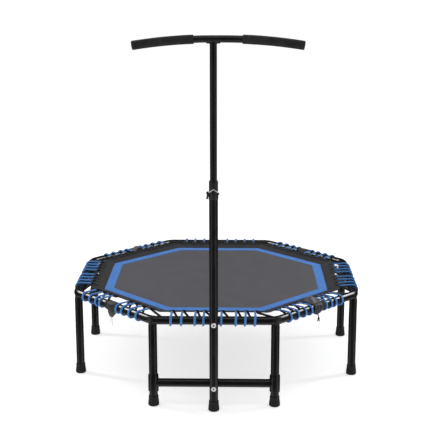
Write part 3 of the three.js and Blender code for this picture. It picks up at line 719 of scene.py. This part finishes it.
def stitches(shape, inset, shift, height, length=0.0036, pitch=0.0062):
    """A row of stitches along every side, in the piece's second material."""
    x = APOTHEM - inset
    half = x * math.tan(EIGHTH) - 0.002
    count = int(2 * half / pitch)
    for angle in SIDE_ANGLES:
        to_row = side_frame(angle)
        for k in range(count):
            y = (k - (count - 1) / 2) * pitch
            here = x + shift(angle, y)
            z = mat_height(here, y) + height
            ends = [to_row @ Vector((here, y + side * length / 2, z)) for side in (-1, 1)]
            sweep(shape, ends, circle(0.00055, 6), ends=((0.0004, 0.5), (0.0004, 0)), slot=1)


def add_mat_edge():
    """The black binding folded over the mat's edge, and the rows of stitches through it."""
    low = -MAT_THICKNESS - BINDING_THICKNESS
    outer, inner = HEM
    section = [
        (outer, -0.0003), (outer + 0.0008, 0.0009), (inner - 0.001, 0.0010), (inner, 0.0002),
        (inner, -MAT_THICKNESS), (inner - 0.001, low), (outer + 0.0008, low), (outer, -0.0013),
    ]
    shape = Shape()
    ring(shape, section, pull)
    stitches(shape, outer + 0.004, pull, 0.0011)
    stitches(shape, inner - 0.003, pull, 0.0011)
    return finish_piece(shape, "mat_binding", [WEBBING, BLACK_THREAD], None)


def add_stripe():
    """The blue tape sewn on top of the mat, with a row of stitches along each edge."""
    outer, inner = STRIPE
    edge, top = 0.0001, 0.0009
    section = [(outer, edge), (outer + 0.0006, top), (inner - 0.0006, top), (inner, edge)]
    shape = Shape()
    ring(shape, section, sewn_edge)
    for inset in (outer + 0.003, inner - 0.003):
        stitches(shape, inset, sewn_edge, 0.001)
    return finish_piece(shape, "mat_stripe", [STRIPE_CLOTH, BLUE_THREAD], None)


def add_tabs():
    """A webbing tab at each loop, folded round the cord and sewn to both faces of the mat."""
    shape = Shape()
    bend = ANCHOR_INSET - 0.0002
    inner = bend + 0.020
    outline = [(inner, 0.0014)]
    for k in range(9):
        angle = math.radians(90 - 22.5 * k)
        outline.append((bend - 0.0052 * math.cos(angle), 0.0052 * math.sin(angle)))
    outline.append((inner, -0.0030))
    for angle in SIDE_ANGLES:
        to_row = side_frame(angle)
        for s in loops_on(angle):
            add_tab(shape, to_row, s + TURN_WIDTH / 2, outline)
    return finish_piece(shape, "mat_tabs", [WEBBING], None)


def add_tab(shape, to_row, middle, outline, width=0.0065, thick=0.0011):
    rows = []
    for y in (-width, -width * 0.92, width * 0.92, width):
        outside = tab_line(outline, thick * (0.35 if abs(y) == width else 1))
        line = outside + tab_line(outline, 0)[::-1]
        rows.append([
            to_row @ Vector((APOTHEM - i, middle + y, mat_height(APOTHEM - i, middle) + h))
            for i, h in line
        ])
    for edge in (0, -1):
        flat = [sum(map(Vector, pair), Vector()) / 2 for pair in zip(rows[edge], rows[edge][::-1])]
        rows.insert(0 if edge == 0 else len(rows), flat)
    shape.surface(rows)


def tab_line(outline, offset):
    """An (inset, height) line moved outwards by offset."""
    points = [Vector(p) for p in outline]
    moved = []
    for i, p in enumerate(points):
        along = (points[min(i + 1, len(points) - 1)] - points[max(i - 1, 0)]).normalized()
        moved.append(tuple(p + Vector((-along.y, along.x)) * -offset))
    return moved


# ---------- elastic cords ----------
MAT_EDGE = MAT_TOP + MAT_BORDER["rise"]  # height of the mat's outer edge


def loop_path(y):
    """The blue part of one loop, from the mat's edge over the rail and round to underneath it."""
    edge = APOTHEM - ANCHOR_INSET
    path = [Vector((edge - 0.0035, y + 0.0042, MAT_EDGE + 0.0005))]
    path.append(Vector((edge - 0.0022, y + 0.0012, MAT_EDGE + 0.0015)))
    path.append(Vector((edge + 0.0005, y, MAT_EDGE + 0.002)))
    start = Vector((edge, y, MAT_EDGE + 0.002))
    wrap = []
    for i in range(19):
        share = i / 18
        angle = WRAP_OVER + (WRAP_UNDER - WRAP_OVER) * share
        wrap.append(Vector((
            APOTHEM - WRAP_RADIUS * math.cos(angle),
            y - UNDER_DRIFT * share,
            RAIL_HEIGHT + WRAP_RADIUS * math.sin(angle),
        )))
    path += [start.lerp(wrap[0], share) for share in (0.2, 0.45, 0.7, 0.9)]
    return path + wrap


def return_path(to_row_under, y_under, to_row_edge, y_edge):
    """The black part, from under the rail slanting back to the mat's edge beside the last loop."""
    under = Vector((
        APOTHEM - WRAP_RADIUS * math.cos(WRAP_UNDER),
        y_under - UNDER_DRIFT,
        RAIL_HEIGHT + WRAP_RADIUS * math.sin(WRAP_UNDER),
    ))
    edge = Vector((APOTHEM - ANCHOR_INSET, y_edge + TURN_WIDTH, MAT_EDGE - 0.002))
    turning = Vector((APOTHEM - ANCHOR_INSET - 0.0035, y_edge + 0.0042, MAT_EDGE + 0.0005))
    start, end = to_row_under @ under, to_row_edge @ edge
    path = [start.lerp(end, share) for share in (0, 0.03, 0.25, 0.5, 0.75, 0.97)]
    return path + [to_row_edge @ turning]


def add_cords(quarter):
    """One length of cord laced round a quarter: sixteen loops over the rail, black on the way back."""
    angle = QUARTERS[quarter]
    places = [(angle - 45, y) for y in loops_on(angle - 45) if y > 0]
    places += [(angle, y) for y in loops_on(angle)]
    places += [(angle + 45, y) for y in loops_on(angle + 45) if y < 0]
    shape = Shape()
    flat = circle(1, 14) * (CORD["half_width"], CORD["half_thick"])
    flat_ends = round_end(CORD["half_thick"], 0.5, 2)
    full = circle(CORD["return_radius"], 12)
    full_ends = round_end(CORD["return_radius"], 0.5, 2)
    before = (places[0][0], places[0][1] - TURN_WIDTH - 0.004)
    for side, y in places:
        to_row = side_frame(side)
        path = [to_row @ p for p in loop_path(y)]
        sweep(shape, path, flat, ends=flat_ends)
        back = return_path(to_row, y, side_frame(before[0]), before[1])
        sweep(shape, back, full, ends=full_ends, slot=1)
        before = (side, y)
    name = f"cords_{quarter}"
    finish_piece(
        shape, f"{name}_elastic", [BLUE_CORD, BLACK_CORD], BODY[quarter], [name]
    )


# ---------- cloth covers ----------
COVER_HALF = 0.026
SNUG = RAIL_RADIUS + 0.0012
FRILL = 0.0035
HEM_START = COVER_HALF - 0.004
LINK_COVER = {"width": 0.0196, "low": 0.048, "high": 0.0176}
HINGE_COVER_LOW = 0.028
POUCH_LEAN = -0.014

# The sleeve over a fold hinge, as (outward, up) points round the rail: first in the middle of the
# cover, then at its hems. Its inboard part is a flap that lies over the hinge.
HINGE_MIDDLE = (
    (0.0178, 0.003), (0.0152, 0.0115), (0.0070, 0.0172), (-0.005, 0.0186), (-0.0165, 0.0262),
    (-0.027, 0.0334), (-0.045, 0.0334), (-0.0504, 0.0290), (-0.0504, 0.0140), (-0.045, 0.0084),
    (-0.027, 0.0080), (-0.0188, 0.0060), (-0.0180, -0.007), (-0.0145, -0.0205), (-0.004, -0.0275),
    (0.0075, -0.0260), (0.0155, -0.0145),
)
HINGE_HEM = (
    (0.0174, 0.003), (0.0148, 0.0105), (0.0070, 0.0166), (-0.005, 0.0172), (-0.0165, 0.0180),
    (-0.027, 0.0190), (-0.045, 0.0186), (-0.0498, 0.0170), (-0.0500, 0.0130), (-0.045, 0.0095),
    (-0.027, 0.0088), (-0.0188, 0.0060), (-0.0174, -0.004), (-0.0140, -0.0110), (-0.004, -0.0172),
    (0.0075, -0.0160), (0.0152, -0.0085),
)


def smooth_step(x):
    x = min(max(x, 0), 1)
    return x * x * (3 - 2 * x)


def closed_curve(points, count):
    """A smooth closed curve through points, as count points."""
    points = np.array(points)
    curve = []
    for k in range(count):
        place = k * len(points) / count
        i, t = int(place), place % 1
        p = [points[(i + j) % len(points)] for j in (-1, 0, 1, 2)]
        bend = (p[2] - p[0]) * t + (2 * p[0] - 5 * p[1] + 4 * p[2] - p[3]) * t * t
        curve.append(p[1] + 0.5 * (bend + (3 * p[1] - p[0] - 3 * p[2] + p[3]) * t ** 3))
    return curve


def link_outline(fullness, count):
    """A sleeve with a pouch that hangs below the rail."""
    width, low, high = (SNUG + (LINK_COVER[k] - SNUG) * fullness for k in ("width", "low", "high"))
    outline = []
    for k in range(count):
        angle = 2 * math.pi * k / count
        c, s = math.cos(angle), math.sin(angle)
        square = 0.72 if s > 0 else 1.0
        narrow = 1 - 0.62 * abs(s) ** 1.6 * max(low - 0.030, 0) / 0.018 if s < 0 else 1
        x = width * math.copysign(abs(c) ** square, c) * narrow
        outline.append((x, (high if s > 0 else low) * math.copysign(abs(s) ** square, s)))
    return outline


def hinge_outline(fullness, count):
    middle, hem = (np.array(closed_curve(p, count)) for p in (HINGE_MIDDLE, HINGE_HEM))
    return hem + (middle - hem) * fullness


def cover_section(outline, y, seed, count=72):
    """The sleeve's outline at a place along the rail, as (outward, up) points round the rail."""
    fullness = 1 - smooth_step((abs(y) - 0.25 * COVER_HALF) / (HEM_START - 0.25 * COVER_HALF)) ** 1.2
    frill = smooth_step((abs(y) - HEM_START) / (COVER_HALF + FRILL - HEM_START))
    points = []
    for k, (x, z) in enumerate(outline(fullness, count)):
        angle = 2 * math.pi * k / count
        lump = noise.noise(Vector((x * 110, z * 110, y * 95 + seed))) * (0.0005 + 0.0011 * fullness)
        ruffle = frill * (0.0016 + 0.0011 * math.sin(13 * angle + seed))
        grow = 1 + (lump + ruffle) / max(math.hypot(x, z), 0.012)
        points.append((x * grow, z * grow))
    return points


def add_cover(place, angle, outline, body, seed, lean=0):
    """A cloth sleeve round the rail; lean moves the bottom of its pouch along the rail."""
    to_row = side_frame(angle)

    def lay(x, y, z, layer):
        hang = min(max(-z - RAIL_RADIUS, 0) / (LINK_COVER["low"] - RAIL_RADIUS), 1)
        return to_row @ Vector((APOTHEM + x * layer, y + lean * hang, RAIL_HEIGHT + z * layer))

    reach = COVER_HALF + FRILL
    rows = []
    for layer, order in ((1.0, 1), (0.955, -1)):
        for y in np.linspace(-reach, reach, 37)[::order]:
            rows.append([lay(x, y, z, layer) for x, z in cover_section(outline, y, seed)])
    rows.append(rows[0])
    shape = Shape()
    shape.surface(rows)
    for y in (-HEM_START, HEM_START):
        section = cover_section(outline, y, seed, 48)
        string = [lay(x, y, z, 1.02) for x, z in section]
        sweep(shape, string + string[:1], circle(0.0010, 8), up=to_row.to_3x3() @ Vector((0, 1, 0)), slot=1)
    name = f"joint_cover_{place}"
    cover = finish_piece(
        shape, f"{name}_cloth", [COVER_CLOTH, BLACK_THREAD, FLAP_TOP_PAINTED_SHEEN], body, [name],
        sharp=80,
    )
    # The flap's upward-facing faces take the paler cloth, a painted sheen of the light from above.
    if outline is hinge_outline:
        back = to_row.inverted()
        for face in cover.data.polygons:
            inboard = APOTHEM - (back @ face.center).x
            if face.material_index == 0 and inboard > 0.004 and face.normal.z > 0.35:
                face.material_index = 2
    return cover


TIE_RADIUS = 0.0021


def add_tie():
    """The drawstring of the front right cover: it hangs below the rail and ends in a knot."""
    to_row = side_frame(-45)
    low = RAIL_HEIGHT - HINGE_COVER_LOW
    route = [
        (0.004, 0.0, 0.004), (0.0065, 0.001, -0.003), (0.0078, 0.002, -0.010), (0.007, 0.004, -0.017),
    ]
    path = [to_row @ Vector((APOTHEM + x, y, low + z)) for x, y, z in route]
    shape = Shape()
    sweep(shape, path, circle(TIE_RADIUS, 10), up=(0, 1, 0), ends=round_end(TIE_RADIUS))
    knot = [(0.0048 * math.sin(t), 0.005 * math.cos(t)) for t in np.linspace(0, math.pi, 11)]
    turn(shape, knot, Matrix.Translation(path[-1]), 16)
    for lean in (-0.0045, 0.003):
        tail = [path[-1] + Vector((lean * t, 0.001 * t, -0.011 * t)) for t in (0, 0.5, 1)]
        sweep(shape, tail, circle(0.0019, 8), up=(0, 1, 0), ends=round_end(0.0019))
    obj = shape.build("tie_front_right", [BLACK_THREAD])
    bend_over_fold(obj)
    return obj


def add_frayed_threads():
    """Loose threads at the bottom of the front left cover."""
    to_row = side_frame(225)
    low = RAIL_HEIGHT - LINK_COVER["low"] + 0.002
    shape = Shape()
    for start, lean, length in ((-0.005, -0.006, 0.030), (0.001, 0.003, 0.018), (0.005, 0.007, 0.034)):
        path = []
        for k in range(7):
            share = k / 6
            bend = lean * math.sin(share * 2.4)
            across = POUCH_LEAN + start + bend
            path.append(to_row @ Vector((APOTHEM + bend * 0.5, across, low - length * share)))
        sweep(shape, path, circle(0.0006, 6), up=(0, 1, 0), ends=round_end(0.0006))
    return finish_piece(shape, "threads_front_left", [PALE_THREAD], "frame")


# ---------- CAD parts that stay: softened edges and better finishes ----------
KEPT = {
    "hinge_fork": ZINC, "hinge_tongue": ZINC, "hinge_pin": ZINC, "joint_link": ZINC,
    "joint_rivet": ZINC, "post_nut": ZINC, "post_spacer": PLASTIC, "clamp_body": PLASTIC,
    "clamp_band": CHROME, "post_collar": PLASTIC, "clamp_lever": PLASTIC, "clamp_lever_pin": DARK_STEEL_AND_SOCKET_SHADE,
}


def soften_kept_parts():
    for name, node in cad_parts.items():
        starts = [start for start in KEPT if name.startswith(start)]
        if not starts:
            continue
        node.data.materials.clear()
        node.data.materials.append(KEPT[max(starts, key=len)])
        join = node.modifiers.new("join", "WELD")
        join.merge_threshold = 1e-5
        edge = node.modifiers.new("edge", "BEVEL")
        edge.width = 0.0004
        edge.segments = 2
        edge.limit_method = "ANGLE"
        edge.angle_limit = math.radians(35)
        node.data.polygons.foreach_set("use_smooth", [True] * len(node.data.polygons))


# ---------- the object ----------
for quarter, neighbours in NEIGHBOURS.items():
    add_rail(quarter)
    add_cords(quarter)
    for neighbour in neighbours:
        add_leg(f"leg_{quarter}_{neighbour}", BODY[quarter])
        add_foot(f"foot_{quarter}_{neighbour}", BODY[quarter], LEG_RADIUS)
add_crossbar()
add_outer_post()
add_foot("foot_post", "frame", POST_RADIUS)
add_inner_post()
add_handle_bar()
add_grip("grip_left", -1)
add_grip("grip_right", 1)
for level in BOLT_HEIGHTS:
    add_bolt(level)

mat = add_mat()
add_mat_edge()
add_stripe()
add_tabs()

cover_front_right = add_cover("front_right", -45, hinge_outline, None, 1.7)
cover_back_left = add_cover("back_left", 135, hinge_outline, None, 5.2)
cover_front_left = add_cover("front_left", 225, link_outline, "frame", 9.4, POUCH_LEAN)
cover_back_right = add_cover("back_right", 45, link_outline, "folding_half", 13.1)
add_tie()
add_frayed_threads()
soften_kept_parts()


# ---------- floor, light and camera ----------
def add_floor():
    """A pale studio floor that glows a little, so that the shadows on it stay light."""
    shape = Shape()
    turn(shape, [(0, 0), (60, 0)], Matrix.Translation((0, 0, -0.0005)), 96)
    material = bpy.data.materials.new("floor")
    material.use_nodes = True
    shader = material.node_tree.nodes["Principled BSDF"]
    shader.inputs["Base Color"].default_value = (0.8, 0.8, 0.8, 1)
    shader.inputs["Roughness"].default_value = 1.0
    shader.inputs["Specular IOR Level"].default_value = 0.0
    shader.inputs["Emission Color"].default_value = (1, 1, 1, 1)
    shader.inputs["Emission Strength"].default_value = 0.62
    floor = shape.build("floor", [material])
    floor.visible_glossy = False


def add_softbox(name, place, size, power, only_reflected=False):
    """A flat light aimed at the object. only_reflected makes it show as a highlight and no more."""
    light = bpy.data.lights.new(name, "AREA")
    light.shape = "RECTANGLE"
    light.size, light.size_y = size
    light.energy = power
    obj = bpy.data.objects.new(name, light)
    obj.location = place
    aim = Vector((0, 0, 0.4)) - Vector(place)
    obj.rotation_euler = aim.to_track_quat("-Z", "Y").to_euler()
    obj.visible_diffuse = not only_reflected
    bpy.context.scene.collection.objects.link(obj)


def light_world():
    """White to look at; what the pieces reflect is a dim studio with pale sides and a pale floor."""
    world = bpy.data.worlds.new("studio")
    bpy.context.scene.world = world
    world.use_nodes = True
    nodes, links = world.node_tree.nodes, world.node_tree.links
    nodes.clear()

    def combine(operation, *values):
        return math_node(nodes, links, operation, *values)

    def rise(value, start, end, height):
        node = nodes.new("ShaderNodeMapRange")
        node.interpolation_type = "SMOOTHSTEP"
        numbers = {"From Min": start, "From Max": end, "To Min": 0, "To Max": height}
        for name, number in numbers.items():
            node.inputs[name].default_value = number
        links.new(value, node.inputs["Value"])
        return node.outputs["Result"]

    parts = nodes.new("ShaderNodeSeparateXYZ")
    links.new(nodes.new("ShaderNodeTexCoord").outputs["Generated"], parts.inputs["Vector"])
    x, y, z = (parts.outputs[k] for k in "XYZ")
    sideways = combine("ABSOLUTE", x)
    sides = combine("SUBTRACT", rise(sideways, 0.60, 0.78, 1.2), rise(sideways, 0.84, 0.97, 1.1))
    sides = combine("MULTIPLY", sides, rise(combine("MULTIPLY", y, -1), -0.35, 0.15, 1))
    below = rise(combine("MULTIPLY", z, -1), 0.35, 0.9, 1.1)
    above = rise(z, 0.5, 1.0, 0.35)
    reflected = combine("ADD", combine("ADD", sides, below), combine("ADD", above, 0.04))

    path = nodes.new("ShaderNodeLightPath")
    lit = combine("MULTIPLY_ADD", path.outputs["Is Glossy Ray"], -0.6, 0.6)
    glossy = combine("MULTIPLY", path.outputs["Is Glossy Ray"], reflected)
    white = combine("MULTIPLY", path.outputs["Is Camera Ray"], 1.25)
    seen = combine("MAXIMUM", combine("ADD", lit, glossy), white)
    background = nodes.new("ShaderNodeBackground")
    links.new(seen, background.inputs["Strength"])
    output = nodes.new("ShaderNodeOutputWorld")
    links.new(background.outputs["Background"], output.inputs["Surface"])


def add_camera():
    camera = bpy.data.cameras.new("camera")
    camera.sensor_width = 36
    camera.lens = 87.65
    obj = bpy.data.objects.new("camera", camera)
    obj.location = (0.0760, -4.1808, 1.6070)
    yaw, tilt, roll = (math.radians(a) for a in (1.210, 76.685, -0.080))
    turned = Matrix.Rotation(yaw, 4, "Z") @ Matrix.Rotation(tilt, 4, "X") @ Matrix.Rotation(roll, 4, "Z")
    obj.rotation_euler = turned.to_euler()
    bpy.context.scene.collection.objects.link(obj)
    bpy.context.scene.camera = obj


add_floor()
light_world()
for name, side in (("left", -1), ("right", 1)):
    add_softbox(f"strip_{name}", (side * 2.6, 0.6, 2.6), (0.25, 2.2), 27)
    add_softbox(f"rim_{name}", (side * 2.8, 1.5, 2.95), (1.6, 1.2), 110, only_reflected=True)
add_softbox("top", (0, -1.2, 3.4), (3.0, 1.2), 14)
add_camera()
bpy.context.scene.view_settings.view_transform = "Standard"
